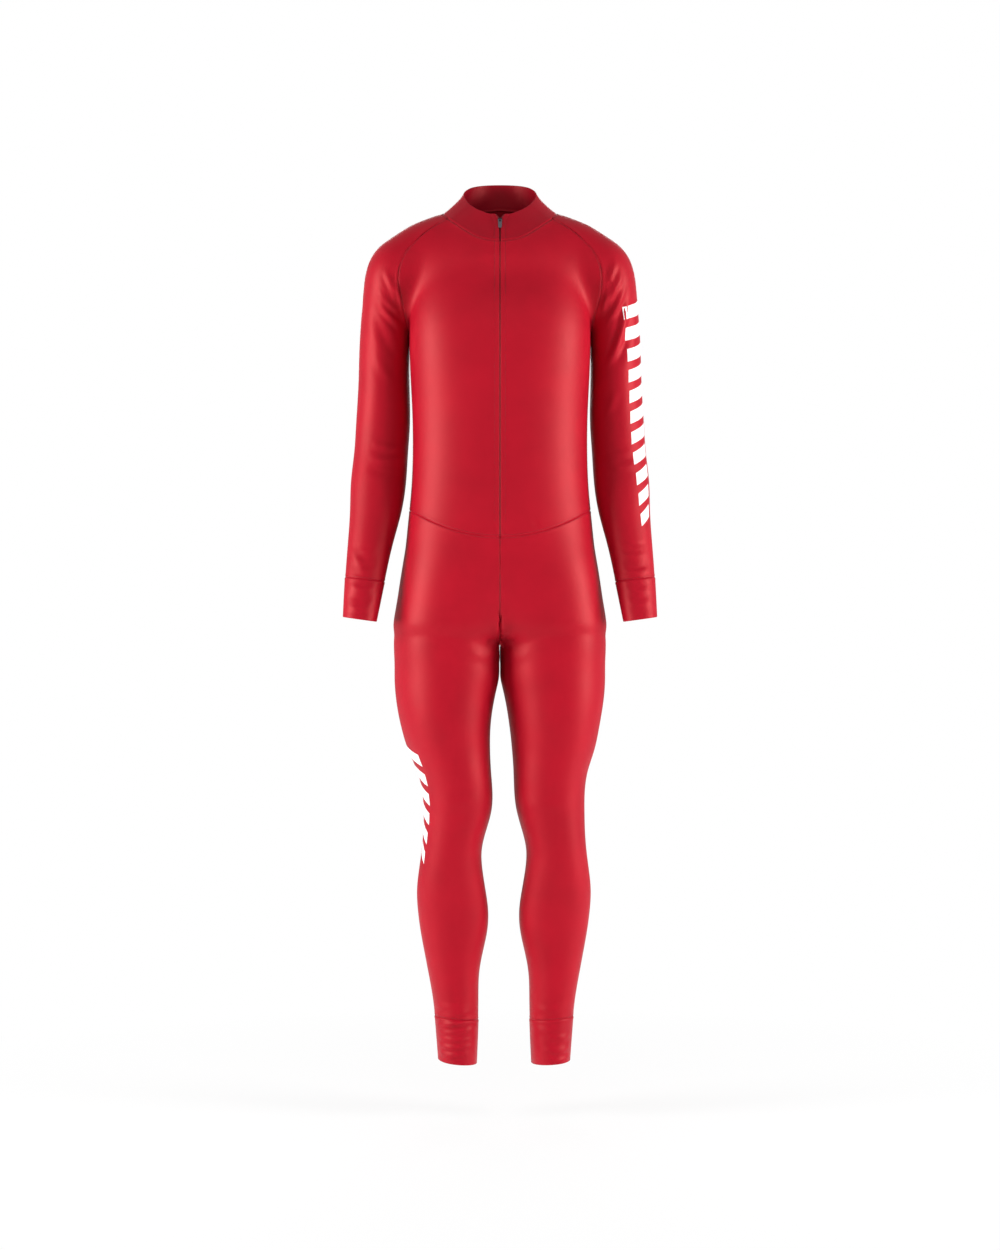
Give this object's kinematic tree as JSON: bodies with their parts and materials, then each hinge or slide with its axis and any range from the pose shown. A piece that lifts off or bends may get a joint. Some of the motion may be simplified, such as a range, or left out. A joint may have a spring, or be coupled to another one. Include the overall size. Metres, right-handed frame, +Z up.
{
  "type": "nordic ski suit",
  "caption": "One-piece close-fitting nordic ski suit with raglan sleeves, a stand collar, a front zip to the waist seam and long cuffed legs, in its worn form.",
  "frame": {"origin": "the middle of the neck opening, level with the tops of the shoulders beside it, where the suit hangs on its wearer", "axes": "+Z up, -Y the way the suit faces, +X towards the wearer's left"},
  "size_m": [0.5286, 0.2381, 1.502],
  "materials": {
    "knit": "stretch knit of polyester and elastane with a soft sheen",
    "double_knit": "the same knit, two layers, topstitched",
    "zip_tape": "woven polyester tape",
    "zip_coil": "moulded coil under its tape",
    "slider": "satin enamel",
    "pull": "moulded",
    "print": "thin matt transfer print"
  },
  "bodies": {
    "suit": {"front_left": "knit", "front_right": "knit", "back": "knit", "sleeve_left": "knit", "sleeve_right": "knit", "leg_left": "knit", "leg_right": "knit", "collar": "double_knit", "cuff_left": "double_knit", "cuff_right": "double_knit", "ankle_cuff_left": "double_knit", "ankle_cuff_right": "double_knit", "zip_tape_left": "zip_tape", "zip_tape_right": "zip_tape", "zip_chain": "zip_coil", "slider": "slider"},
    "pull": {"pull_tab": "pull"}
  },
  "joints": [
    {"name": "pull_swing", "type": "hinge", "parent": "suit", "child": "pull", "pos_m": [0, -0.06876, -0.01596], "axis": [-1, 0, 0], "range_deg": [0, 160]}
  ]
}
